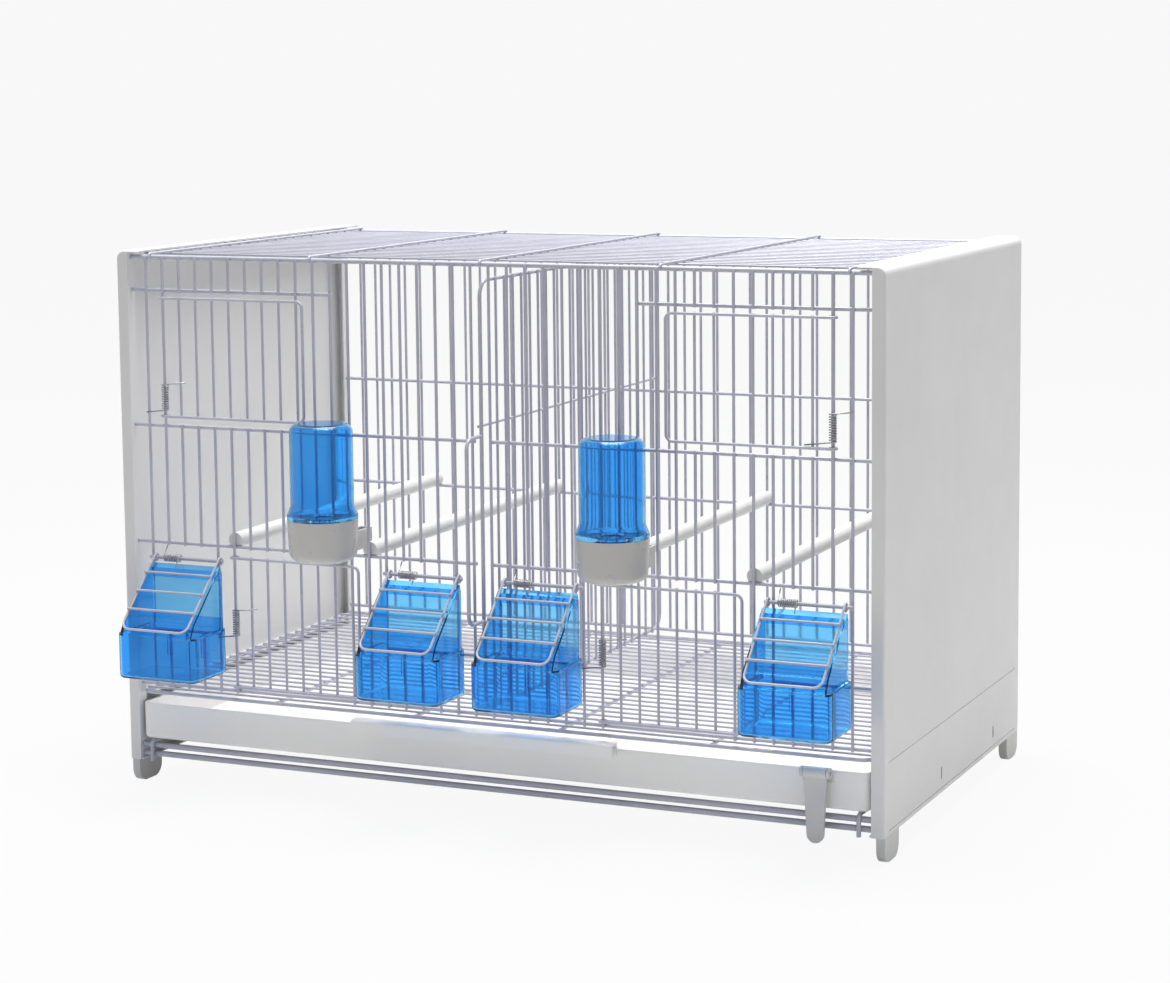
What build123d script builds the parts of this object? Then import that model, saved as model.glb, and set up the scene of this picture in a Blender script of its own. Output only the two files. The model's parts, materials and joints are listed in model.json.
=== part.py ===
from build123d import *
import os
from math import cos, dist, pi, radians, sin, sqrt

os.makedirs("parts", exist_ok=True)

# Driving dimensions in millimetres.
# X runs along the front from left to right, the front faces -Y, Z is height above the ground.

# Body
bar_pitch = 13.0
bars_per_half = 20
depth = 310.0
panel_height = 355.0
sheet = 1.0
front_flange = 8.5
flange_lip = 9.0
top_flange = 18.0
bottom_flange = 10.0
panel_corner = 6.0
panel_edge = 1.5
crease_z = 64.0
crease_width = 1.6
crease_depth = 0.35
crease_inset = 10.0
hem_height = 3.0
hem_groove = 0.8
slot_width = 3.0
slot_height = 8.0
slot_setbacks = (121.5, 244.5)
slot_z = 30.0
foot_height = 17.0
foot_length = 28.0
foot_thickness = 6.0
foot_setback = 2.0
foot_round = 9.0
foot_edge = 0.8

# Wire radii
bar_radius = 1.0
rail_radius = 1.25
top_rail_radius = 1.6
cross_radius = 0.9
fine_radius = 0.8
rod_radius = 2.0
runner_radius = 1.5

# Gaps
weld_gap = 0.02
hinge_clearance = 0.3
rest_gap = 0.3
hole_clearance = 0.15
wire_tuck = 2.0

# Heights of the rails, and how far the bars stand behind the flange's front
bar_setback = 3.0
roof_drop = 2.0
upper_rail_drop = 27.0
middle_rail_drop = 120.0
low_rail_z = 171.0
sill_z = 110.0
bottom_rail_z = 71.0

# Doors, with places along the front counted in bar pitches from the middle
frame_radius = 1.0
door_bar_radius = 0.9
door_corner = 4.5
door_overlap = 0.45
upper_door_gaps = (7.0, 5.0)
lower_door_gaps = (3.5, 7.0)
upper_hinge_step = 18.5
upper_catch_step = 10.5
lower_left_steps = (14.5, 7.5)
lower_right_steps = (6.5, 13.5)
hook_angle = 250.0

# Door springs
spring_radius = 0.5
spring_coil_radius = 2.1
spring_pitch = 1.6
spring_turns = 11
spring_rise = 3.0
spring_door_leg = 18.0

# Feeders and their flaps
outer_opening = (15.5, 19.5)
inner_opening = (1.5, 5.5)
feeder_shift = 0.25
feeder_width = 62.0
feeder_depth = 44.0
feeder_box_height = 31.0
feeder_sill_drop = 25.5
feeder_wall = 1.6
feeder_corner = 6.0
feeder_foot_round = 3.0
hood_shoulder = 3.0
hood_slope = 44.0
hood_start = 5.0
hood_front_rise = 5.0
back_wall_rise = 7.0
hood_rail_height = 5.0
rib_width = 3.0
rib_height = 14.0
flap_hinge_drop = 10.0
flap_inset = 2.5
flap_rest_gap = 1.0
flap_length = 62.0
flap_corner = 6.0
flap_wires = 3
flap_hinge_overhang = 5.0
flap_spring_radius = 0.4
flap_spring_pitch = 1.35
flap_spring_turns = 9
flap_spring_inset = 6.5
flap_spring_leg = 9.0

# Drinkers
drinker_step = 8.0
drinker_axis_out = 24.0
drinker_radius = 23.5
cup_height = 27.4
cup_foot_radius = 18.0
cup_bend = 6.0
cup_bend_radius = 6.2
cup_wall = 2.0
spout_width = 9.0
spout_reach = 32.0
spout_height = 13.0
spout_wall = 1.5
bottle_radius = 21.0
bottle_height = 63.0
bottle_wall = 1.5
bottle_edge = 6.0
collar_height = 2.4
collar_taper = 6.2
neck_radius = 9.0
neck_length = 14.0
bottle_seat = 0.2

# Perches
perch_steps = (6.5, 14.5)
perch_radius = 5.2
perch_notch = 2.0

# Roof and divider
roof_pitch = 13.0
roof_cross_steps = (-19.3, -9.7, 0.0, 9.7, 19.3)
roof_hook_angle = 110.0
divider_drop = 15.0
divider_corner = 11.0
divider_pitch = 13.0
divider_middle_rise = 10.0
handle_low_rise = 24.0
handle_high_rise = 4.0
handle_reach = 19.0
handle_corner = 7.0

# Base rods, tray, floor
lower_rod_z = 21.0
upper_rod_z = 27.0
rod_setback = 5.2
runner_inset = 17.0
runner_drop = 14.0
tray_clearance = 1.5
tray_height = 25.0
tray_wall = 1.5
tray_corner = 5.0
tray_foot_round = 3.0
tray_front_setback = 1.0
tray_back_gap = 12.0
tray_handle_length = 190.0
tray_handle_depth = 9.0
tray_handle_height = 9.0
tray_handle_rise = 4.5
tray_handle_wall = 1.6
catch_inset = 43.0
catch_width = 15.0
catch_tip_width = 11.0
catch_length = 45.0
catch_thickness = 3.0
catch_barrel_radius = 3.4
catch_pin_radius = 1.4
catch_pin_fit = 0.06
catch_drop = 0.5
catch_out = 6.0
ear_thickness = 2.0
ear_gap = 0.3
ledge_width = 12.0
ledge_drop = 10.0
ledge_top_z = 63.5
floor_clearance = 0.75
floor_corner = 6.0
floor_pitch = 12.0
floor_front_setback = 3.0
floor_back_gap = 7.0
floor_stiffeners = 4

# Places worked out from the driving dimensions
width = 2 * ((bars_per_half + 0.5) * bar_pitch + front_flange)
panel_top = foot_height + panel_height
upper_rail_z = panel_top - upper_rail_drop
middle_rail_z = panel_top - middle_rail_drop
upper_door_low_z = middle_rail_z + upper_door_gaps[0]
upper_door_high_z = upper_rail_z - upper_door_gaps[1]
lower_door_low_z = bottom_rail_z + lower_door_gaps[0]
lower_door_high_z = low_rail_z - lower_door_gaps[1]
feeder_bottom_z = sill_z - feeder_sill_drop
hood_width = feeder_width - 2 * hood_shoulder
flap_width = hood_width - 2 * flap_inset
flap_hinge_z = low_rail_z - flap_hinge_drop
divider_top_z = panel_top - divider_drop
divider_middle_z = middle_rail_z + divider_middle_rise
handle_low_z = sill_z + handle_low_rise
handle_high_z = middle_rail_z + handle_high_rise
front_reach = drinker_axis_out + drinker_radius
front_y = (front_reach - depth) / 2
back_y = front_y + depth
middle_y = (front_y + back_y) / 2
lip_x = width / 2 - front_flange
wire_end_x = lip_x + sheet + wire_tuck
bar_y = front_y + bar_setback
back_bar_y = back_y - bar_setback
rail_y = bar_y + bar_radius + rail_radius + weld_gap
back_rail_y = back_bar_y - bar_radius - rail_radius - weld_gap
roof_cross_z = panel_top - roof_drop
top_rail_z = roof_cross_z - cross_radius - top_rail_radius - weld_gap
top_rail_y = bar_y + bar_radius + top_rail_radius + weld_gap
back_top_rail_y = back_bar_y - bar_radius - top_rail_radius - weld_gap
rod_y = front_y + rod_setback
back_rod_y = back_y - rod_setback
hook_radius = bar_radius + hinge_clearance + frame_radius
door_y = bar_y - hook_radius
door_bar_y = door_y + frame_radius + door_bar_radius + weld_gap
flap_hinge_y = bar_y - bar_radius - rail_radius - weld_gap
flap_hook_radius = rail_radius + hinge_clearance + fine_radius
hood_out = flap_hook_radius - fine_radius - flap_rest_gap
feeder_back_y = bar_y - spring_coil_radius - spring_radius - rest_gap
feeder_rim_z = feeder_bottom_z + feeder_box_height
drinker_y = front_y - drinker_axis_out
cup_bottom_z = low_rail_z + rail_radius + rest_gap
cup_rim_z = cup_bottom_z + cup_height
runner_z = upper_rod_z + rod_radius + runner_radius + weld_gap
tray_bottom_z = runner_z + runner_radius + rest_gap
tray_top_z = tray_bottom_z + tray_height
tray_front_y = front_y + tray_front_setback
catch_x = width / 2 - catch_inset
floor_frame_z = ledge_top_z + rest_gap + rail_radius
floor_wire_z = floor_frame_z + rail_radius + fine_radius + weld_gap
divider_front_y = bar_y
divider_back_y = back_rail_y - rail_radius - 2 * cross_radius
divider_bottom_z = bottom_rail_z + 2 * rail_radius + rest_gap
slope_along = (-cos(radians(hood_slope)), -sin(radians(hood_slope)))
slope_out = (-sin(radians(hood_slope)), cos(radians(hood_slope)))


def save(piece, name):
    """Label one finished piece and write it."""
    piece.label = name
    export_step(piece, f"parts/{name}.step")


def upright(points, low, high, radius):
    """A set of upright wires at X, Y points."""
    return Plane.XY.offset(low), points, high - low, radius


def along_x(points, start, end, radius):
    """A set of wires along X at Y, Z points."""
    return Plane(origin=(start, 0, 0), x_dir=(0, 1, 0), z_dir=(1, 0, 0)), points, end - start, radius


def along_y(points, front, back, radius):
    """A set of wires along Y at X, Z points."""
    return Plane(origin=(0, back, 0), x_dir=(1, 0, 0), z_dir=(0, -1, 0)), points, back - front, radius


def straight_wires(wire_sets):
    """Straight wires that touch at their welds, each a solid of its own."""
    with BuildPart() as wires:
        for plane, points, length, radius in wire_sets:
            with BuildSketch(plane):
                with Locations(*points):
                    Circle(radius)
            extrude(amount=length)
    return wires.part


def block(low, high, mode=Mode.ADD):
    """A box between two corners, in the part that is being built."""
    with Locations(tuple((a + b) / 2 for a, b in zip(low, high))):
        Box(*(b - a for a, b in zip(low, high)), mode=mode)


def steps_between(low, high):
    """Bars strictly between two bars."""
    return [low + n for n in range(1, round(high - low))]


def slope_point(along, out):
    """Y and Z of a point on a flap: along its slope from the hinge, and out from the hinge's axis."""
    y = flap_hinge_y + along * slope_along[0] + out * slope_out[0]
    return y, flap_hinge_z + along * slope_along[1] + out * slope_out[1]


# Side panels: shallow pans of folded sheet, open to the inside


def side_panel(side):
    outer = side * width / 2
    rail_heights = (upper_rail_z, middle_rail_z, low_rail_z, sill_z, bottom_rail_z)
    holes = [(rail_y, z, rail_radius) for z in rail_heights]
    holes += [(back_rail_y, z, rail_radius) for z in (middle_rail_z, low_rail_z, bottom_rail_z)]
    holes += [(y, top_rail_z, top_rail_radius) for y in (top_rail_y, back_top_rail_y)]
    holes += [(y, z, rod_radius) for y in (rod_y, back_rod_y) for z in (lower_rod_z, upper_rod_z)]
    with BuildPart() as panel:
        block(
            (min(outer, outer - side * top_flange), front_y, foot_height),
            (max(outer, outer - side * top_flange), back_y, panel_top),
        )
        outer_face = panel.faces().sort_by(Axis.X)[-1 if side > 0 else 0]
        fillet(outer_face.edges().sort_by(Axis.Z)[-1], panel_corner)
        outer_face = panel.faces().filter_by(Plane.YZ).sort_by(Axis.X)[-1 if side > 0 else 0]
        fillet(outer_face.edges().filter_by(Axis.Z), panel_edge)
        offset(amount=-sheet, openings=panel.faces().sort_by(Axis.X)[0 if side > 0 else -1])
        trims = ((front_y - sheet, front_y + sheet), (back_y - sheet, back_y + sheet))
        near, far = sorted((side * (width / 2 - top_flange - sheet), side * lip_x))
        for start, end in trims:
            block((near, start, foot_height - sheet), (far, end, panel_top - sheet), Mode.SUBTRACT)
        near, far = sorted((side * (width / 2 - top_flange - sheet), side * (width / 2 - bottom_flange)))
        block(
            (near, front_y - sheet, foot_height - sheet),
            (far, back_y + sheet, foot_height + sheet),
            Mode.SUBTRACT,
        )
        near, far = sorted((side * lip_x, side * (lip_x + sheet)))
        for start, end in ((front_y, front_y + flange_lip), (back_y - flange_lip, back_y)):
            block((near, start, foot_height), (far, end, panel_top - sheet))
        near, far = sorted((outer, outer - side * crease_depth))
        for z, groove in ((crease_z, crease_width), (foot_height + hem_height, hem_groove)):
            block(
                (near, front_y + crease_inset, z - groove / 2),
                (far, back_y - crease_inset, z + groove / 2),
                Mode.SUBTRACT,
            )
        near, far = sorted((outer + side * sheet, outer - side * 2 * sheet))
        for setback in slot_setbacks:
            slot_y = front_y + setback
            block(
                (near, slot_y - slot_width / 2, slot_z - slot_height / 2),
                (far, slot_y + slot_width / 2, slot_z + slot_height / 2),
                Mode.SUBTRACT,
            )
        for y, z, radius in holes:
            with Locations((side * (lip_x + sheet / 2), y, z)):
                Cylinder(radius + hole_clearance, 3 * sheet, rotation=(0, 90, 0), mode=Mode.SUBTRACT)
    return panel.part


def foot(side, front):
    """A moulded tongue under one corner of a panel."""
    start = front_y + foot_setback if front else back_y - foot_setback - foot_length
    near, far = sorted((side * (width / 2 - foot_thickness), side * width / 2))
    with BuildPart() as tongue:
        block((near, start, 0), (far, start + foot_length, foot_height))
        fillet(tongue.edges().filter_by(Axis.X).group_by(Axis.Z)[0], foot_round)
        fillet(tongue.faces().sort_by(Axis.X)[0].edges(), foot_edge)
    return tongue.part


def floor_ledge(side):
    """An angle strip on the inside of a panel that carries the floor grid."""
    wall = side * (width / 2 - sheet)
    near, far = sorted((wall, wall - side * sheet))
    left, right = sorted((wall, wall - side * ledge_width))
    start = front_y + flange_lip + sheet
    end = back_y - flange_lip - sheet
    with BuildPart() as ledge:
        block((near, start, ledge_top_z - ledge_drop), (far, end, ledge_top_z))
        block((left, start, ledge_top_z - sheet), (right, end, ledge_top_z))
    return ledge.part


for side, side_name in ((-1, "left"), (1, "right")):
    save(side_panel(side), f"{side_name}_side_panel")
    save(foot(side, True), f"front_{side_name}_foot")
    save(foot(side, False), f"back_{side_name}_foot")
    save(floor_ledge(side), f"{side_name}_floor_ledge")

# Front: two welded halves under one top rail, with a slot between them for the divider


def bar_runs(step, openings):
    """Lengths of one front bar, left out where an opening crosses it."""
    runs = [(bottom_rail_z - rail_radius, top_rail_z)]
    for low_step, high_step, low, high in openings:
        if low_step < step < high_step:
            start, end = next(run for run in runs if run[0] < low and run[1] > high)
            runs.remove((start, end))
            runs += [(start, low + rail_radius), (high - rail_radius, end)]
    return [run for run in runs if run[1] - run[0] > 3 * rail_radius]


def front_half(side, lower_door_steps):
    near, far = sorted(lower_door_steps)
    openings = [
        (upper_catch_step, upper_hinge_step, middle_rail_z, upper_rail_z),
        (near, far, bottom_rail_z, low_rail_z),
        (*outer_opening, sill_z, low_rail_z),
        (*inner_opening, sill_z, low_rail_z),
    ]
    groups = {}
    for bar in range(bars_per_half):
        for run in bar_runs(bar + 0.5, openings):
            groups.setdefault(run, []).append((side * (bar + 0.5) * bar_pitch, bar_y))
    sets = [upright(points, *run, bar_radius) for run, points in groups.items()]

    def across(inner, outer, y, z):
        ends = sorted((side * inner, side * outer))
        sets.append(along_x([(y, z)], *ends, rail_radius))

    slot = 0.5 * bar_pitch - bar_radius
    across((upper_catch_step - 2) * bar_pitch - bar_radius, wire_end_x, rail_y, upper_rail_z)
    across(slot, wire_end_x, rail_y, middle_rail_z)
    across(slot, wire_end_x, rail_y, low_rail_z)
    across(outer_opening[0] * bar_pitch - bar_radius, wire_end_x, rail_y, sill_z)
    across(slot, inner_opening[1] * bar_pitch + bar_radius, rail_y, sill_z)
    for first, last in (inner_opening, outer_opening):
        start = first * bar_pitch - flap_hinge_overhang
        across(start, last * bar_pitch + bar_radius, flap_hinge_y, flap_hinge_z)
    return straight_wires(sets)


bar_places = [side * (bar + 0.5) * bar_pitch for side in (-1, 1) for bar in range(bars_per_half)]

save(front_half(-1, lower_left_steps), "front_grille_left")
save(front_half(1, lower_right_steps), "front_grille_right")
top_rail = along_x([(top_rail_y, top_rail_z)], -wire_end_x, wire_end_x, top_rail_radius)
bottom_rail = along_x([(rail_y, bottom_rail_z)], -wire_end_x, wire_end_x, rail_radius)
save(straight_wires([top_rail]), "front_top_rail")
save(straight_wires([bottom_rail]), "front_bottom_rail")

back_rails = [(back_rail_y, z) for z in (middle_rail_z, low_rail_z, bottom_rail_z)]
back_grille = straight_wires(
    [
        upright([(x, back_bar_y) for x in bar_places], bottom_rail_z - rail_radius, top_rail_z, bar_radius),
        along_x(back_rails, -wire_end_x, wire_end_x, rail_radius),
        along_x([(back_top_rail_y, top_rail_z)], -wire_end_x, wire_end_x, top_rail_radius),
    ]
)
save(back_grille, "back_grille")

# Roof: fine wires under five cross wires that hook over the front and back top rails


def roof_hook(centre_y, turn):
    """Three points of a hook round a top rail, from its tip to the top."""
    radius = roof_cross_z - top_rail_z
    angles = [radians(90 + turn * share * roof_hook_angle) for share in (1, 0.5, 0)]
    return [(centre_y + radius * cos(a), top_rail_z + radius * sin(a)) for a in angles]


fine_roof_z = roof_cross_z - cross_radius - fine_radius - weld_gap
roof_count = round((depth - 2 * flange_lip) / roof_pitch) - 2
roof_start = middle_y - (roof_count - 1) * roof_pitch / 2
roof_wire_end = width / 2 - sheet - wire_tuck
with BuildPart() as roof_grille:
    with BuildSketch(Plane(origin=(-roof_wire_end, 0, 0), x_dir=(0, 1, 0), z_dir=(1, 0, 0))):
        with Locations(*[(roof_start + n * roof_pitch, fine_roof_z) for n in range(roof_count)]):
            Circle(fine_radius)
    extrude(amount=2 * roof_wire_end)
    for step in roof_cross_steps:
        front_hook = [(step * bar_pitch, *point) for point in roof_hook(top_rail_y, 1)]
        back_hook = [(step * bar_pitch, *point) for point in roof_hook(back_top_rail_y, -1)]
        with BuildLine():
            tip = ThreePointArc(*front_hook)
            Line(front_hook[2], back_hook[2])
            ThreePointArc(*reversed(back_hook))
        with BuildSketch(Plane(origin=tip @ 0, z_dir=tip % 0)):
            Circle(cross_radius)
        sweep()
save(roof_grille.part, "roof_grille")

# Base: cross rods at the front and back, and runners for the tray that bend down over them

for name, y in (("front_base_rods", rod_y), ("back_base_rods", back_rod_y)):
    rods = [(y, lower_rod_z), (y, upper_rod_z)]
    save(straight_wires([along_x(rods, -wire_end_x, wire_end_x, rod_radius)]), name)


def tray_runner(side):
    x = side * (width / 2 - runner_inset)
    bend = rod_radius + runner_radius + weld_gap
    foot_z = runner_z - runner_drop
    corners = [
        (rod_y - bend, foot_z),
        (rod_y - bend, runner_z),
        (back_rod_y + bend, runner_z),
        (back_rod_y + bend, foot_z),
    ]
    with BuildPart() as runner:
        with BuildLine():
            bent = FilletPolyline(*((x, y, z) for y, z in corners), radius=bend)
        with BuildSketch(Plane(origin=bent @ 0, z_dir=bent % 0)):
            Circle(runner_radius)
        sweep()
    return runner.part


save(tray_runner(-1), "left_tray_runner")
save(tray_runner(1), "right_tray_runner")

# Perches: rods along Y, notched over the low rails


def perch(x):
    axis_z = low_rail_z + rail_radius + rest_gap - perch_notch + perch_radius
    front = bar_y + bar_radius + rest_gap
    back = back_bar_y - bar_radius - rest_gap
    notch = rail_radius + rest_gap
    with BuildPart() as rod:
        with BuildSketch(Plane(origin=(0, back, 0), x_dir=(1, 0, 0), z_dir=(0, -1, 0))):
            with Locations((x, axis_z)):
                Circle(perch_radius)
        extrude(amount=back - front)
        for y in (rail_y, back_rail_y):
            low = axis_z - perch_radius
            block(
                (x - perch_radius, y - notch, low - perch_notch),
                (x + perch_radius, y + notch, low + perch_notch),
                Mode.SUBTRACT,
            )
    return rod.part


for side, side_name in ((-1, "left"), (1, "right")):
    for step, place in zip(perch_steps, ("inner", "outer")):
        save(perch(side * step * bar_pitch), f"{side_name}_{place}_perch")

# Doors: a wire frame hooked round its hinge bar, with its own bars behind the frame


def hook_points(centre_x, reach, z):
    """Three points of a hook round an upright bar, from its tip to the front."""
    angles = [radians(270 - share * hook_angle) for share in (1, 0.5, 0)]
    return [(centre_x + reach * hook_radius * cos(a), bar_y + hook_radius * sin(a), z) for a in angles]


def door(hinge_step, catch_step, low, high):
    """A door between two bars, with steps counted from the middle and negative to the left."""
    reach = 1 if catch_step > hinge_step else -1
    hinge_x = hinge_step * bar_pitch
    free_x = (catch_step + reach * door_overlap) * bar_pitch
    low_hook = hook_points(hinge_x, reach, low)
    high_hook = hook_points(hinge_x, reach, high)
    outline = [
        (hinge_x, door_y, low),
        (free_x, door_y, low),
        (free_x, door_y, high),
        (hinge_x, door_y, high),
    ]
    bars = [reach * step for step in steps_between(reach * hinge_step, reach * catch_step)]
    with BuildPart() as frame:
        with BuildLine():
            tip = ThreePointArc(*low_hook)
            FilletPolyline(*outline, radius=door_corner)
            ThreePointArc(*reversed(high_hook))
        with BuildSketch(Plane(origin=tip @ 0, z_dir=tip % 0)):
            Circle(frame_radius)
        sweep()
        with BuildSketch(Plane.XY.offset(low - frame_radius)):
            with Locations(*[(step * bar_pitch, door_bar_y) for step in bars]):
                Circle(door_bar_radius)
        extrude(amount=high - low + 2 * frame_radius)
    return frame.part


save(door(-upper_hinge_step, -upper_catch_step, upper_door_low_z, upper_door_high_z), "upper_left_door")
save(door(upper_hinge_step, upper_catch_step, upper_door_low_z, upper_door_high_z), "upper_right_door")
save(door(*(-step for step in lower_left_steps), lower_door_low_z, lower_door_high_z), "lower_left_door")
save(door(*lower_right_steps, lower_door_low_z, lower_door_high_z), "lower_right_door")

# Torsion springs: one wire wound round a hinge, with a straight leg at each end


def half_turn_middle(start, start_way, end, end_way):
    """Where the two arcs of a biarc meet, and the way they run there."""
    span = end - start
    ways = start_way + end_way
    spread = 2 * (1 - start_way.dot(end_way))
    slack = (sqrt(span.dot(ways) ** 2 + spread * span.dot(span)) - span.dot(ways)) / spread
    first, second = start + start_way * slack, end - end_way * slack
    return (first + second) * 0.5, (second - first).normalized()


def torsion_spring(plane, coil_radius, pitch, turns, wire, start_leg, end_leg, name):
    """A spring wound round the plane's Z axis, with both legs on the plane's -Y side."""

    def placed(x, y, z):
        return plane.x_dir * x + plane.y_dir * y + plane.z_dir * z

    def coil(turn):
        angle = 2 * pi * turn - pi / 2
        point = plane.origin + placed(coil_radius * cos(angle), coil_radius * sin(angle), pitch * turn)
        way = placed(-coil_radius * sin(angle), coil_radius * cos(angle), pitch / (2 * pi)).normalized()
        return point, way

    with BuildPart() as spring:
        with BuildLine():
            point, way = coil(0)
            first_leg = Line(point - way * start_leg, point)
            for half in range(2 * turns):
                point, way = coil(half / 2)
                end, end_way = coil(half / 2 + 0.5)
                middle, middle_way = half_turn_middle(point, way, end, end_way)
                TangentArc(point, middle, tangent=way)
                TangentArc(middle, end, tangent=middle_way)
            end, end_way = coil(turns)
            Line(end, end + end_way * end_leg)
        with BuildSketch(Plane(origin=first_leg @ 0, z_dir=first_leg % 0)):
            Circle(wire)
        sweep()
    points_per_turn = 24
    points = [tuple(coil(n / points_per_turn)[0]) for n in range(turns * points_per_turn + 1)]
    apart = points_per_turn // 2
    least = min(dist(p, q) for n, p in enumerate(points) for q in points[n + apart :])
    print(f"{name}: {turns} curls, least gap to itself {least - 2 * wire:.2f} mm")
    return spring.part


def door_spring(hinge_step, to_right, z, name):
    """A spring on a hinge bar whose lower leg points left and upper leg right."""
    plane = Plane(origin=(hinge_step * bar_pitch, bar_y, z))
    fixed_leg = bar_pitch + bar_radius
    legs = (fixed_leg, spring_door_leg) if to_right else (spring_door_leg, fixed_leg)
    return torsion_spring(plane, spring_coil_radius, spring_pitch, spring_turns, spring_radius, *legs, name)


upper_spring_z = upper_door_low_z + frame_radius + spring_rise
lower_spring_z = sill_z
for name, step, to_right, z in (
    ("upper_left_door_spring", -upper_hinge_step, True, upper_spring_z),
    ("upper_right_door_spring", upper_hinge_step, False, upper_spring_z),
    ("lower_left_door_spring", -lower_left_steps[0], True, lower_spring_z),
    ("lower_right_door_spring", lower_right_steps[0], True, lower_spring_z),
):
    save(door_spring(step, to_right, z, name), name)

# Feeders: clear boxes with a sloping hood, open at the back, and sprung wire flaps that lie on the hood


def feeder(centre_x, rib_steps):
    front = feeder_back_y - feeder_depth
    back = feeder_back_y - feeder_wall
    seat_z = feeder_rim_z - feeder_wall
    left, right = centre_x - hood_width / 2, centre_x + hood_width / 2
    low_along = (front - flap_hinge_y - hood_out * slope_out[0]) / slope_along[0]
    bend_along = low_along + feeder_corner / slope_along[0]
    low_z = slope_point(low_along, hood_out)[1] - hood_front_rise / 2
    top = slope_point(hood_start, hood_out)
    rail_top = top[1] - hood_rail_height
    rail_low = rail_top - hood_rail_height
    under = hood_out - feeder_wall
    outside = [
        (front + feeder_wall, seat_z),
        (front + feeder_wall, low_z),
        slope_point(bend_along, hood_out),
        top,
        (back, rail_top),
    ]
    inside = [
        (back, rail_low),
        (back - feeder_wall, rail_low),
        (back - feeder_wall, rail_top - feeder_wall),
        slope_point(hood_start + 2 * feeder_wall, under),
        slope_point(bend_along, under),
        (front + 2 * feeder_wall, low_z),
        (front + 2 * feeder_wall, seat_z),
    ]
    cheek = [*outside, (back, seat_z)]
    with BuildPart() as bin:
        with BuildSketch(Plane.XY.offset(feeder_bottom_z)):
            with Locations((centre_x, feeder_back_y - feeder_depth / 2)):
                RectangleRounded(feeder_width, feeder_depth, feeder_corner)
        extrude(amount=feeder_box_height)
        fillet(bin.faces().sort_by(Axis.Z)[0].edges(), feeder_foot_round)
        offset(amount=-feeder_wall, openings=bin.faces().sort_by(Axis.Z)[-1])
        with BuildSketch(Plane.XY.offset(seat_z)):
            with Locations((centre_x, feeder_back_y - feeder_depth / 2)):
                RectangleRounded(feeder_width, feeder_depth, feeder_corner)
                Rectangle(hood_width - 2 * feeder_wall, feeder_depth - 2 * feeder_wall, mode=Mode.SUBTRACT)
        extrude(amount=feeder_wall)
        for profile, start, thickness in (
            (cheek, left, feeder_wall),
            (cheek, right - feeder_wall, feeder_wall),
            (outside + inside, left, hood_width),
        ):
            with BuildSketch(Plane.YZ.offset(start)):
                with BuildLine():
                    Polyline(*profile, close=True)
                make_face()
            extrude(amount=thickness)
        block((left, back - feeder_wall, seat_z), (right, back, feeder_rim_z + back_wall_rise))
        for step in rib_steps:
            x = step * bar_pitch
            low = (feeder_bottom_z + feeder_rim_z - rib_height) / 2
            block(
                (x - rib_width / 2, feeder_back_y - feeder_wall / 2, low),
                (x + rib_width / 2, bar_y - bar_radius - rest_gap, low + rib_height),
            )
    return bin.part


def flap(centre_x):
    left, right = centre_x - flap_width / 2, centre_x + flap_width / 2
    tangent = 90 + hood_slope
    angles = [radians(tangent - share * hook_angle) for share in (1, 0.5, 0)]
    hook = [
        (flap_hinge_y + flap_hook_radius * cos(a), flap_hinge_z + flap_hook_radius * sin(a)) for a in angles
    ]
    tip = slope_point(flap_length, flap_hook_radius)
    cross_out = flap_hook_radius + 2 * fine_radius + weld_gap
    spacing = flap_length / (flap_wires + 1)
    crosses = [slope_point((n + 1) * spacing, cross_out) for n in range(flap_wires)]
    with BuildPart() as grid:
        with BuildLine():
            start = ThreePointArc(*((left, *point) for point in hook))
            corners = [(left, *hook[2]), (left, *tip), (right, *tip), (right, *hook[2])]
            FilletPolyline(*corners, radius=flap_corner)
            ThreePointArc(*((right, *point) for point in reversed(hook)))
        with BuildSketch(Plane(origin=start @ 0, z_dir=start % 0)):
            Circle(fine_radius)
        sweep()
        with BuildSketch(Plane(origin=(left - fine_radius, 0, 0), x_dir=(0, 1, 0), z_dir=(1, 0, 0))):
            with Locations(*crosses):
                Circle(fine_radius)
        extrude(amount=flap_width + 2 * fine_radius)
    return grid.part


def flap_spring(centre_x, name):
    """A spring on a flap's hinge wire, its legs on the flap and on the low rail's side."""
    start = centre_x - flap_width / 2 + fine_radius + flap_spring_inset
    coil_radius = flap_hook_radius
    plane = Plane(origin=(start, flap_hinge_y, flap_hinge_z), x_dir=(0, *slope_along), z_dir=(1, 0, 0))
    return torsion_spring(
        plane,
        coil_radius,
        flap_spring_pitch,
        flap_spring_turns,
        flap_spring_radius,
        flap_spring_leg,
        flap_spring_leg,
        name,
    )


feeders = (
    ("feeder_1", -1, outer_opening),
    ("feeder_2", -1, inner_opening),
    ("feeder_3", 1, inner_opening),
    ("feeder_4", 1, outer_opening),
)
for name, side, (first, last) in feeders:
    centre_x = side * ((first + last) / 2 - feeder_shift) * bar_pitch
    save(feeder(centre_x, (side * (first + 1), side * (last - 1))), name)
    save(flap(centre_x), f"{name}_flap")
    save(flap_spring(centre_x, f"{name}_flap_spring"), f"{name}_flap_spring")

# Drinkers: a cup with a spout between two bars, and a bottle that stands in the cup


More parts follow.
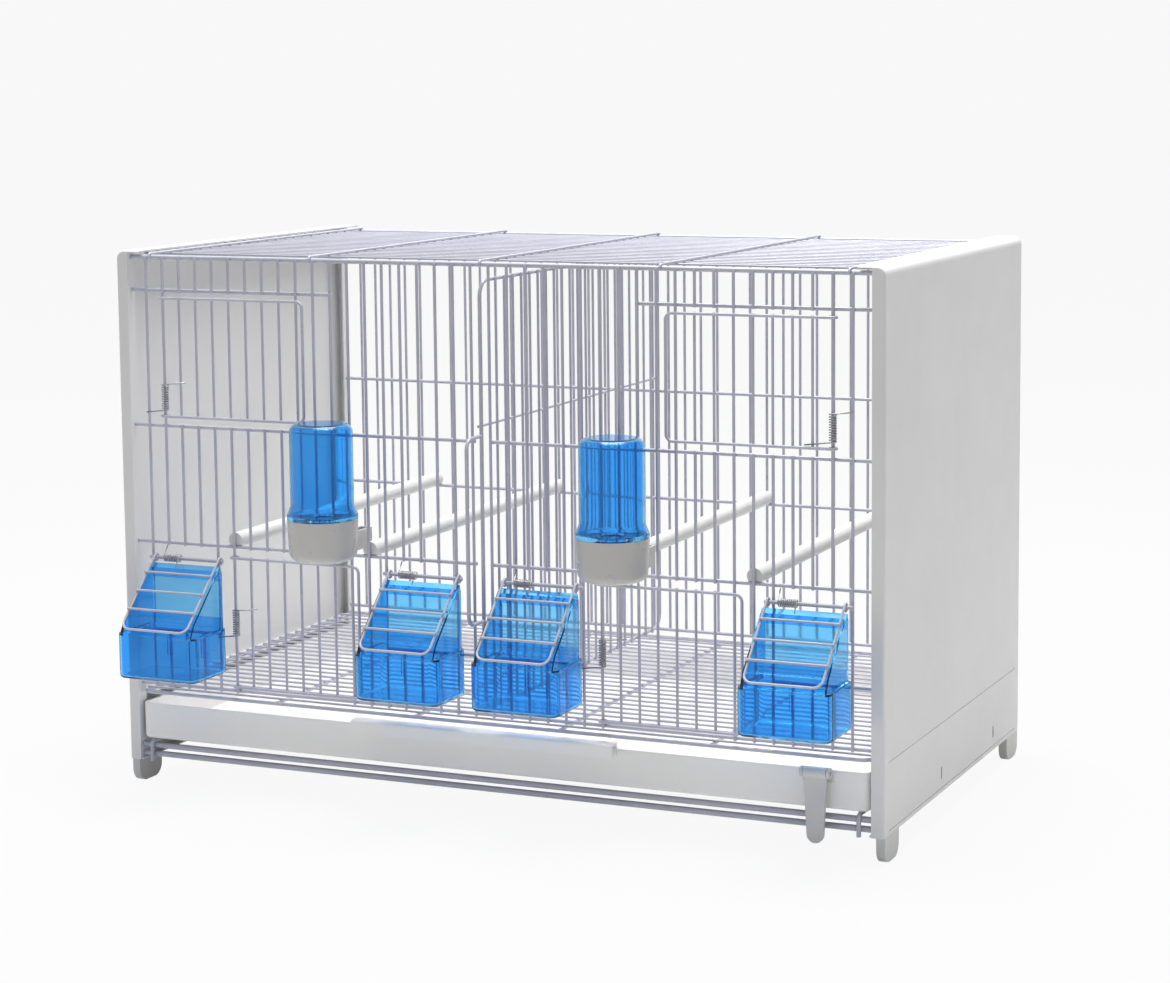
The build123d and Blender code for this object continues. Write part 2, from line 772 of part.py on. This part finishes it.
def drinker_cup(centre_x):
    half = spout_width / 2
    spout_end = bar_y + spout_reach
    spout_top = cup_bottom_z + spout_height
    with BuildPart() as cup:
        with BuildSketch(Plane(origin=(centre_x, drinker_y, 0), x_dir=(1, 0, 0), z_dir=(0, -1, 0))):
            with BuildLine():
                Polyline((0, cup_rim_z), (0, cup_bottom_z), (cup_foot_radius, cup_bottom_z))
                bend = RadiusArc(
                    (cup_foot_radius, cup_bottom_z),
                    (drinker_radius - cup_wall / 2, cup_bottom_z + cup_bend),
                    -cup_bend_radius,
                )
                Polyline(bend @ 1, (drinker_radius, cup_rim_z), (0, cup_rim_z))
            make_face()
        revolve(axis=Axis((centre_x, drinker_y, 0), (0, 0, 1)))
        block((centre_x - half, drinker_y, cup_bottom_z), (centre_x + half, spout_end, spout_top))
        with Locations((centre_x, drinker_y, cup_bottom_z + 2 * cup_wall)):
            Cylinder(
                cup_foot_radius + cup_wall,
                cup_height,
                align=(Align.CENTER, Align.CENTER, Align.MIN),
                mode=Mode.SUBTRACT,
            )
        block(
            (centre_x - half + spout_wall, drinker_y, cup_bottom_z + 2 * cup_wall),
            (centre_x + half - spout_wall, spout_end - spout_wall, spout_top + cup_wall),
            Mode.SUBTRACT,
        )
    return cup.part


def rounded_end(radius, top, edge):
    """Side, middle and end of the rounded edge of a flat-topped profile."""
    share = edge * sqrt(0.5)
    return (radius, top - edge), (radius - edge + share, top - edge + share), (radius - edge, top)


def drinker_bottle(centre_x):
    low = cup_rim_z + bottle_seat
    shoulder = low + collar_height + collar_taper
    top = low + bottle_height
    inner = bottle_radius - bottle_wall
    bore = neck_radius - bottle_wall
    with BuildPart() as bottle:
        with BuildSketch(Plane(origin=(centre_x, drinker_y, 0), x_dir=(1, 0, 0), z_dir=(0, -1, 0))):
            with BuildLine():
                Polyline(
                    (bore, low - neck_length),
                    (neck_radius, low - neck_length),
                    (neck_radius, low),
                    (drinker_radius, low),
                    (drinker_radius, low + collar_height),
                    (bottle_radius, shoulder),
                    (bottle_radius, top - bottle_edge),
                )
                ThreePointArc(*rounded_end(bottle_radius, top, bottle_edge))
                Polyline(
                    (bottle_radius - bottle_edge, top),
                    (0, top),
                    (0, top - bottle_wall),
                    (bottle_radius - bottle_edge, top - bottle_wall),
                )
                ThreePointArc(*rounded_end(inner, top - bottle_wall, bottle_edge - bottle_wall))
                Polyline(
                    (inner, top - bottle_edge),
                    (inner, shoulder),
                    (drinker_radius - bottle_wall, low + collar_height),
                    (bore, low + bottle_wall),
                    (bore, low - neck_length),
                )
            make_face()
        revolve(axis=Axis((centre_x, drinker_y, 0), (0, 0, 1)))
    return bottle.part


for side, side_name in ((-1, "left"), (1, "right")):
    save(drinker_cup(side * drinker_step * bar_pitch), f"{side_name}_drinker_cup")
    save(drinker_bottle(side * drinker_step * bar_pitch), f"{side_name}_drinker_bottle")

# Divider: a wire panel across the middle that draws out through the front slot by its handle

divider_side_x = rail_radius + cross_radius + weld_gap
divider_span = divider_back_y - divider_front_y
divider_bars = int(divider_span / divider_pitch) - 1
divider_start = divider_front_y + (divider_span - (divider_bars - 1) * divider_pitch) / 2
with BuildPart() as divider:
    with BuildLine():
        ring = FilletPolyline(
            (0, divider_front_y, divider_bottom_z),
            (0, divider_back_y, divider_bottom_z),
            (0, divider_back_y, divider_top_z),
            (0, divider_front_y, divider_top_z),
            radius=divider_corner,
            close=True,
        )
    with BuildSketch(Plane(origin=ring @ 0, z_dir=ring % 0)):
        Circle(rail_radius)
    sweep()
    with BuildSketch(Plane.XY.offset(divider_bottom_z - rail_radius)):
        with Locations(*[(divider_side_x, divider_start + n * divider_pitch) for n in range(divider_bars)]):
            Circle(cross_radius)
    extrude(amount=divider_top_z - divider_bottom_z + 2 * rail_radius)
    with BuildSketch(Plane(origin=(0, divider_back_y, 0), x_dir=(1, 0, 0), z_dir=(0, -1, 0))):
        with Locations((-divider_side_x, divider_middle_z)):
            Circle(cross_radius)
    extrude(amount=divider_span)
save(divider.part, "divider")

handle_root_y = divider_front_y - rail_radius - weld_gap
handle_front_y = front_y - handle_reach
with BuildPart() as divider_handle:
    with BuildLine():
        grip = FilletPolyline(
            (0, handle_root_y, handle_low_z),
            (0, handle_front_y, handle_low_z),
            (0, handle_front_y, handle_high_z),
            (0, handle_root_y, handle_high_z),
            radius=handle_corner,
        )
    with BuildSketch(Plane(origin=grip @ 0, z_dir=grip % 0)):
        Circle(rail_radius)
    sweep()
save(divider_handle.part, "divider_handle")

# Floor grid: fine wires on a bent frame with stiffeners, drawn out above the tray

floor_half = lip_x - floor_clearance - rail_radius
floor_front_y = front_y + floor_front_setback
floor_back_y = back_y - floor_back_gap
floor_count = int((floor_back_y - floor_front_y) / floor_pitch)
floor_start = (floor_front_y + floor_back_y - (floor_count - 1) * floor_pitch) / 2
stiffener_gap = 2 * floor_half / (floor_stiffeners + 1)
stiffeners = [(stiffener_gap * (n + 1) - floor_half, floor_frame_z) for n in range(floor_stiffeners)]
with BuildPart() as floor_grid:
    with BuildLine():
        ring = FilletPolyline(
            (-floor_half, floor_front_y, floor_frame_z),
            (floor_half, floor_front_y, floor_frame_z),
            (floor_half, floor_back_y, floor_frame_z),
            (-floor_half, floor_back_y, floor_frame_z),
            radius=floor_corner,
            close=True,
        )
    with BuildSketch(Plane(origin=ring @ 0, z_dir=ring % 0)):
        Circle(rail_radius)
    sweep()
    with BuildSketch(Plane(origin=(-floor_half, 0, 0), x_dir=(0, 1, 0), z_dir=(1, 0, 0))):
        with Locations(*[(floor_start + n * floor_pitch, floor_wire_z) for n in range(floor_count)]):
            Circle(fine_radius)
    extrude(amount=2 * floor_half)
    butt = rail_radius + weld_gap
    with BuildSketch(Plane(origin=(0, floor_back_y - butt, 0), x_dir=(1, 0, 0), z_dir=(0, -1, 0))):
        with Locations(*stiffeners):
            Circle(rail_radius)
    extrude(amount=floor_back_y - floor_front_y - 2 * butt)
save(floor_grid.part, "floor_grid")

# Tray with its pull handle, and a hanging catch on a pin between two ears

tray_half = lip_x - tray_clearance
with BuildPart() as tray:
    block((-tray_half, tray_front_y, tray_bottom_z), (tray_half, back_y - tray_back_gap, tray_top_z))
    fillet(tray.edges().filter_by(Axis.Z), tray_corner)
    fillet(tray.faces().sort_by(Axis.Z)[0].edges(), tray_foot_round)
    offset(amount=-tray_wall, openings=tray.faces().sort_by(Axis.Z)[-1])
save(tray.part, "tray")

handle_top_z = tray_top_z + tray_handle_rise
handle_end_y = tray_front_y - tray_handle_depth
half_handle = tray_handle_length / 2
with BuildPart() as tray_handle:
    block(
        (-half_handle, handle_end_y, handle_top_z - tray_handle_height),
        (half_handle, tray_front_y, handle_top_z),
    )
    fillet(tray_handle.edges().filter_by(Axis.X).group_by(Axis.Z)[-1].sort_by(Axis.Y)[0], tray_handle_wall)
    block(
        (-half_handle, handle_end_y + tray_handle_wall, handle_top_z - 2 * tray_handle_height),
        (half_handle, tray_front_y - tray_handle_wall, handle_top_z - tray_handle_wall),
        Mode.SUBTRACT,
    )
save(tray_handle.part, "tray_handle")

pivot_y = tray_front_y - catch_out
pivot_z = tray_top_z - catch_drop
bracket_low_z = pivot_z - 2 * catch_barrel_radius
bracket_half = catch_width / 2 + ear_gap + ear_thickness
with BuildPart() as catch_bracket:
    block(
        (catch_x - bracket_half, tray_front_y - ear_thickness, bracket_low_z),
        (catch_x + bracket_half, tray_front_y, pivot_z),
    )
    for ear_start in (catch_x - bracket_half, catch_x + bracket_half - ear_thickness):
        with BuildSketch(Plane.YZ.offset(ear_start)):
            with Locations((pivot_y, pivot_z)):
                Circle(catch_barrel_radius)
            with Locations(((pivot_y + tray_front_y) / 2, pivot_z - catch_barrel_radius / 2)):
                Rectangle(tray_front_y - pivot_y, catch_barrel_radius)
            with Locations((pivot_y, pivot_z)):
                Circle(catch_pin_radius + catch_pin_fit, mode=Mode.SUBTRACT)
        extrude(amount=ear_thickness)
save(catch_bracket.part, "catch_bracket")
pin_ends = (catch_x - bracket_half, catch_x + bracket_half)
save(straight_wires([along_x([(pivot_y, pivot_z)], *pin_ends, catch_pin_radius)]), "catch_pin")

catch_low_z = pivot_z - catch_length
catch_plane = Plane(origin=(0, pivot_y + catch_thickness / 2, 0), x_dir=(1, 0, 0), z_dir=(0, -1, 0))
with BuildPart() as tray_catch:
    with BuildSketch(catch_plane):
        with BuildLine():
            Polyline(
                (catch_x - catch_tip_width / 2, catch_low_z + catch_tip_width / 2),
                (catch_x - catch_width / 2, pivot_z),
                (catch_x + catch_width / 2, pivot_z),
                (catch_x + catch_tip_width / 2, catch_low_z + catch_tip_width / 2),
            )
            ThreePointArc(
                (catch_x + catch_tip_width / 2, catch_low_z + catch_tip_width / 2),
                (catch_x, catch_low_z),
                (catch_x - catch_tip_width / 2, catch_low_z + catch_tip_width / 2),
            )
        make_face()
    extrude(amount=catch_thickness)
    with Locations((catch_x, pivot_y, pivot_z)):
        Cylinder(catch_barrel_radius, catch_width, rotation=(0, 90, 0))
        Cylinder(catch_pin_radius + catch_pin_fit, catch_width, rotation=(0, 90, 0), mode=Mode.SUBTRACT)
save(tray_catch.part, "tray_catch")
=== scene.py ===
import json
import math

import bpy
from mathutils import Matrix, Vector


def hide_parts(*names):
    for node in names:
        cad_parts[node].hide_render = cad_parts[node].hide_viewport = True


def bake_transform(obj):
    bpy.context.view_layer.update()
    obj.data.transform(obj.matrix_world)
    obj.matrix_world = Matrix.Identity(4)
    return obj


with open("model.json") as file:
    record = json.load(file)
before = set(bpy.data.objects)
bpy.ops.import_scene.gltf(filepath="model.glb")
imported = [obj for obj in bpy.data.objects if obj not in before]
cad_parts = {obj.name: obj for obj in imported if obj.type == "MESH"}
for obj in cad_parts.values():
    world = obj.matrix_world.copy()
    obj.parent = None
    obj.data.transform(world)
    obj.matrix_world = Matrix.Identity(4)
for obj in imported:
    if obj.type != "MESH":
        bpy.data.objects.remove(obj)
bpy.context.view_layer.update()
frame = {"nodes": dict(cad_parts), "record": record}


def add(name, data):
    """A new object in the scene."""
    piece = bpy.data.objects.new(name, data)
    bpy.context.scene.collection.objects.link(piece)
    return piece


# Materials: noise runs in each object's own coordinates, in metres

RAMP_START, RAMP_END = 0.3, 0.7
FULL_DETAIL, LOW_DETAIL = 4.0, 2.0
COAT_GRAIN = 900.0
COAT_DEPTH = 0.0002
COAT_ROUGHNESS = 0.12
GLOSS_SPREAD = 0.06
GLOSS_PER_PATCH = 6


def grey(value):
    return (value,) * 3


def shader(name):
    material = bpy.data.materials.new(name)
    material.use_nodes = True
    tree = material.node_tree
    return material, tree, tree.nodes["Principled BSDF"]


def object_noise(tree, scale, detail):
    place = tree.nodes.new("ShaderNodeTexCoord")
    noise = tree.nodes.new("ShaderNodeTexNoise")
    noise.inputs["Scale"].default_value = scale
    noise.inputs["Detail"].default_value = detail
    tree.links.new(place.outputs["Object"], noise.inputs["Vector"])
    return noise.outputs["Fac"]


def vary(tree, socket, low, high, scale, detail=FULL_DETAIL):
    """Noise that moves a socket between two colours."""
    ramp = tree.nodes.new("ShaderNodeValToRGB")
    first, last = ramp.color_ramp.elements
    first.position, last.position = RAMP_START, RAMP_END
    first.color, last.color = (*low, 1), (*high, 1)
    tree.links.new(object_noise(tree, scale, detail), ramp.inputs["Fac"])
    tree.links.new(ramp.outputs["Color"], socket)


def grain(tree, bsdf, scale, strength, depth):
    """A fine bump over the whole surface."""
    bump = tree.nodes.new("ShaderNodeBump")
    bump.inputs["Strength"].default_value = strength
    bump.inputs["Distance"].default_value = depth
    tree.links.new(object_noise(tree, scale, LOW_DETAIL), bump.inputs["Height"])
    tree.links.new(bump.outputs["Normal"], bsdf.inputs["Normal"])


def coated(name, low, high, roughness, patch=9.0, bump_strength=0.12, coat=0.0):
    """Paint or moulded plastic: faintly uneven colour and gloss, and a fine grain."""
    material, tree, bsdf = shader(name)
    vary(tree, bsdf.inputs["Base Color"], low, high, patch)
    gloss = grey(roughness - GLOSS_SPREAD), grey(roughness + GLOSS_SPREAD)
    vary(tree, bsdf.inputs["Roughness"], *gloss, patch * GLOSS_PER_PATCH)
    bsdf.inputs["Coat Weight"].default_value = coat
    bsdf.inputs["Coat Roughness"].default_value = COAT_ROUGHNESS
    grain(tree, bsdf, COAT_GRAIN, bump_strength, COAT_DEPTH)
    return material


def clear_blue(name):
    """Tinted clear plastic with a little haze and moulding ripple."""
    material, tree, bsdf = shader(name)
    deep, pale = (0.15, 0.58, 1.0), (0.22, 0.64, 1.0)
    vary(tree, bsdf.inputs["Base Color"], deep, pale, scale=30.0, detail=LOW_DETAIL)
    vary(tree, bsdf.inputs["Roughness"], grey(0.02), grey(0.07), scale=60.0)
    bsdf.inputs["Transmission Weight"].default_value = 0.98
    bsdf.inputs["IOR"].default_value = 1.3
    grain(tree, bsdf, scale=120.0, strength=0.04, depth=0.0002)
    return material


def steel(name):
    """Bare spring wire."""
    material, tree, bsdf = shader(name)
    dark, light = (0.30, 0.30, 0.32), (0.42, 0.42, 0.44)
    vary(tree, bsdf.inputs["Base Color"], dark, light, scale=300.0)
    vary(tree, bsdf.inputs["Roughness"], grey(0.22), grey(0.38), scale=500.0)
    bsdf.inputs["Metallic"].default_value = 1.0
    grain(tree, bsdf, scale=1500.0, strength=0.1, depth=0.0001)
    return material


COATED_LOOKS = {
    "white_sheet": dict(low=(0.72, 0.715, 0.715), high=(0.76, 0.755, 0.755), roughness=0.38, coat=0.15),
    "white_wire": dict(low=(0.44, 0.44, 0.51), high=(0.51, 0.51, 0.59), roughness=0.32, patch=40.0, coat=0.2),
    "grey_plastic": dict(low=(0.60, 0.595, 0.585), high=(0.67, 0.665, 0.655), roughness=0.42, patch=25.0),
    "cup_plastic": dict(
        low=(0.49, 0.48, 0.465), high=(0.53, 0.52, 0.50), roughness=0.3, bump_strength=0.04, coat=0.2
    ),
    "tray_plastic": dict(low=(0.87, 0.86, 0.84), high=(0.91, 0.90, 0.88), roughness=0.4, patch=7.0),
}
MATERIALS = {name: coated(name, **look) for name, look in COATED_LOOKS.items()}
MATERIALS["blue_clear"] = clear_blue("blue_clear")
MATERIALS["spring_steel"] = steel("spring_steel")

SLOT_OF = {part["node"]: part["material_slot"] for part in frame["record"]["subparts"]}
for name, node in frame["nodes"].items():
    node.data.materials.clear()
    node.data.materials.append(MATERIALS[SLOT_OF[name]])

# Springs: coils with legs, between the cage and what they close

SIDES = 10
STEPS_PER_TURN = 28


def tube(name, points, radius):
    """A closed round tube through points."""
    last = len(points) - 1
    ways = [(points[min(i + 1, last)] - points[max(i - 1, 0)]).normalized() for i in range(last + 1)]
    across = ways[0].orthogonal().normalized()
    verts, faces = [], []
    for point, way in zip(points, ways):
        across = (across - way * across.dot(way)).normalized()
        other = way.cross(across)
        for side in range(SIDES):
            angle = 2 * math.pi * side / SIDES
            verts.append(point + (across * math.cos(angle) + other * math.sin(angle)) * radius)
    for ring in range(last):
        for side in range(SIDES):
            a, b = ring * SIDES + side, ring * SIDES + (side + 1) % SIDES
            faces.append((a, b, b + SIDES, a + SIDES))
    faces += [tuple(reversed(range(SIDES))), tuple(range(last * SIDES, (last + 1) * SIDES))]
    mesh = bpy.data.meshes.new(name)
    mesh.from_pydata(verts, [], faces)
    for polygon in mesh.polygons:
        polygon.use_smooth = len(polygon.vertices) == 4
    return add(name, mesh)


def coil_points(origin, x_way, z_way, radius, pitch, turns, start_leg, end_leg):
    """Points of a coil round z_way whose legs run along x_way."""
    y_way = z_way.cross(x_way)

    def at(turn):
        """The coil's point and direction after some turns."""
        angle = 2 * math.pi * turn - math.pi / 2
        outward = x_way * math.cos(angle) + y_way * math.sin(angle)
        onward = y_way * math.cos(angle) - x_way * math.sin(angle)
        point = origin + outward * radius + z_way * pitch * turn
        return point, (onward * radius + z_way * pitch / (2 * math.pi)).normalized()

    coil = [at(n / STEPS_PER_TURN)[0] for n in range(turns * STEPS_PER_TURN + 1)]
    (start, start_way), (end, end_way) = at(0), at(turns)
    return [start - start_way * start_leg, *coil, end + end_way * end_leg]


def spring(node, body, base, x_way, z_way, radius, pitch, turns, wire_radius, legs, cage_first=True):
    """A spring's mesh in the place of its node, from the cage to a body or the other way round; body and
    cage_first are not used.
    """
    points = coil_points(base, x_way, z_way, radius, pitch, turns, *legs)
    piece = tube(f"{node}_coil", points, wire_radius)
    piece.data.materials.append(MATERIALS["spring_steel"])
    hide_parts(node)
    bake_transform(piece)


BAR_PITCH = 0.013
BAR_Y = -0.12825
BAR_RADIUS, HINGE_WIRE_RADIUS, WELD_GAP = 0.001, 0.00125, 0.00002

UPPER_SPRING_Z, LOWER_SPRING_Z = 0.263, 0.110
DOOR_LEG, CAGE_LEG = 0.018, 0.014
DOOR_SPRING = dict(
    x_way=Vector((1, 0, 0)), z_way=Vector((0, 0, 1)), radius=0.0021, pitch=0.0016, turns=11, wire_radius=0.0005
)
for door, step, z, cage_first in (
    ("upper_left_door", -18.5, UPPER_SPRING_Z, True),
    ("upper_right_door", 18.5, UPPER_SPRING_Z, False),
    ("lower_left_door", -14.5, LOWER_SPRING_Z, True),
    ("lower_right_door", 6.5, LOWER_SPRING_Z, True),
):
    base = Vector((step * BAR_PITCH, BAR_Y, z))
    legs = (CAGE_LEG, DOOR_LEG) if cage_first else (DOOR_LEG, CAGE_LEG)
    spring(f"{door}_spring", door, base, legs=legs, cage_first=cage_first, **DOOR_SPRING)

FEEDER_STEPS = (-17.25, -3.25, 3.25, 17.25)
FLAP_HALF_WIDTH, FLAP_WIRE_RADIUS, FLAP_SPRING_INSET = 0.0255, 0.0008, 0.0065
FLAP_HINGE_Y = BAR_Y - BAR_RADIUS - HINGE_WIRE_RADIUS - WELD_GAP
FLAP_HINGE_Z = 0.161
FLAP_SLOPE = math.radians(44)
FLAP_SPRING = dict(
    x_way=Vector((0, -math.cos(FLAP_SLOPE), -math.sin(FLAP_SLOPE))),
    z_way=Vector((1, 0, 0)),
    radius=0.00235,
    pitch=0.00135,
    turns=9,
    wire_radius=0.0004,
    legs=(0.009, 0.009),
)
for index, step in enumerate(FEEDER_STEPS, 1):
    start_x = step * BAR_PITCH - FLAP_HALF_WIDTH + FLAP_WIRE_RADIUS + FLAP_SPRING_INSET
    base = Vector((start_x, FLAP_HINGE_Y, FLAP_HINGE_Z))
    spring(f"feeder_{index}_flap_spring", f"feeder_{index}_flap", base, **FLAP_SPRING)

# Floor, light and camera

FLOOR_HALF = 30.0
FLOOR_GREY = 0.8
FLOOR_ROUGHNESS = 0.9
FLOOR_GLOW, FLOOR_GLOW_SHARE = 0.968, 0.96
WORLD_LIGHT, WORLD_SEEN = 0.31, 0.94
LAMP_PLACE, LAMP_TARGET = Vector((0.0, 0.2, 1.9)), Vector((0, 0, 0.2))
LAMP_SIZE, LAMP_POWER = 1.1, 60


def seen(tree):
    """One for rays from the camera, reflections and clear pieces, and nought for rays that light the part."""
    path = tree.nodes.new("ShaderNodeLightPath")
    value = path.outputs["Is Camera Ray"]
    for other in ("Is Glossy Ray", "Is Transmission Ray"):
        either = tree.nodes.new("ShaderNodeMath")
        either.operation = "MAXIMUM"
        tree.links.new(value, either.inputs[0])
        tree.links.new(path.outputs[other], either.inputs[1])
        value = either.outputs[0]
    return value


def floor_material():
    """Nearly white where it is seen, with a little of the part's shadow."""
    material, tree, bsdf = shader("floor")
    bsdf.inputs["Base Color"].default_value = (*grey(FLOOR_GREY), 1)
    bsdf.inputs["Roughness"].default_value = FLOOR_ROUGHNESS
    bsdf.inputs["Specular IOR Level"].default_value = 0.0
    glow = tree.nodes.new("ShaderNodeEmission")
    glow.inputs["Strength"].default_value = FLOOR_GLOW
    share = tree.nodes.new("ShaderNodeMath")
    share.operation = "MULTIPLY"
    share.inputs[1].default_value = FLOOR_GLOW_SHARE
    tree.links.new(seen(tree), share.inputs[0])
    mix = tree.nodes.new("ShaderNodeMixShader")
    tree.links.new(share.outputs[0], mix.inputs["Fac"])
    tree.links.new(bsdf.outputs[0], mix.inputs[1])
    tree.links.new(glow.outputs[0], mix.inputs[2])
    tree.links.new(mix.outputs[0], tree.nodes["Material Output"].inputs["Surface"])
    return material


mesh = bpy.data.meshes.new("floor")
corners = [(x * FLOOR_HALF, y * FLOOR_HALF, 0) for x, y in ((-1, -1), (1, -1), (1, 1), (-1, 1))]
mesh.from_pydata(corners, [], [(0, 1, 2, 3)])
floor = add("floor", mesh)
mesh.materials.append(floor_material())

world = bpy.data.worlds.new("studio")
bpy.context.scene.world = world
world.use_nodes = True
tree = world.node_tree
background = tree.nodes["Background"]
background.inputs["Color"].default_value = (1, 1, 1, 1)
level = tree.nodes.new("ShaderNodeMapRange")
level.inputs["To Min"].default_value = WORLD_LIGHT
level.inputs["To Max"].default_value = WORLD_SEEN
tree.links.new(seen(tree), level.inputs["Value"])
tree.links.new(level.outputs["Result"], background.inputs["Strength"])

light = bpy.data.lights.new("over", "AREA")
light.shape = "SQUARE"
light.size = LAMP_SIZE
light.energy = LAMP_POWER
lamp = add("over", light)
lamp.location = LAMP_PLACE
lamp.rotation_mode = "QUATERNION"
lamp.rotation_quaternion = (LAMP_TARGET - LAMP_PLACE).to_track_quat("-Z", "Y")

# The camera was fitted to the photo, whose width in pixels sets the lens

PHOTO_WIDTH, FOCAL_PX, SHIFT_PX = 1170.0, 2786.0, -100.0
SENSOR_WIDTH = 36.0
CAMERA_PLACE = (0.79538, -1.73752, 0.49470)
AZIMUTH, PITCH_DOWN, ROLL = (math.radians(angle) for angle in (24.1433, 6.6863, -0.5751))
level_way = Vector((-math.sin(AZIMUTH), math.cos(AZIMUTH), 0))
forward = level_way * math.cos(PITCH_DOWN) - Vector((0, 0, math.sin(PITCH_DOWN)))
right = Vector((math.cos(AZIMUTH), math.sin(AZIMUTH), 0))
up = right.cross(forward)
turned_right = right * math.cos(ROLL) + up * math.sin(ROLL)
turned_up = up * math.cos(ROLL) - right * math.sin(ROLL)
lens = bpy.data.cameras.new("camera")
lens.sensor_width = SENSOR_WIDTH
lens.sensor_fit = "HORIZONTAL"
lens.lens = FOCAL_PX / PHOTO_WIDTH * SENSOR_WIDTH
lens.shift_y = SHIFT_PX / PHOTO_WIDTH
lens.clip_start, lens.clip_end = 0.05, 200.0
camera = add("camera", lens)
turn = Matrix((turned_right, turned_up, -forward)).transposed().to_4x4()
camera.matrix_world = Matrix.Translation(CAMERA_PLACE) @ turn
bpy.context.scene.camera = camera
bpy.context.scene.view_settings.view_transform = "Standard"
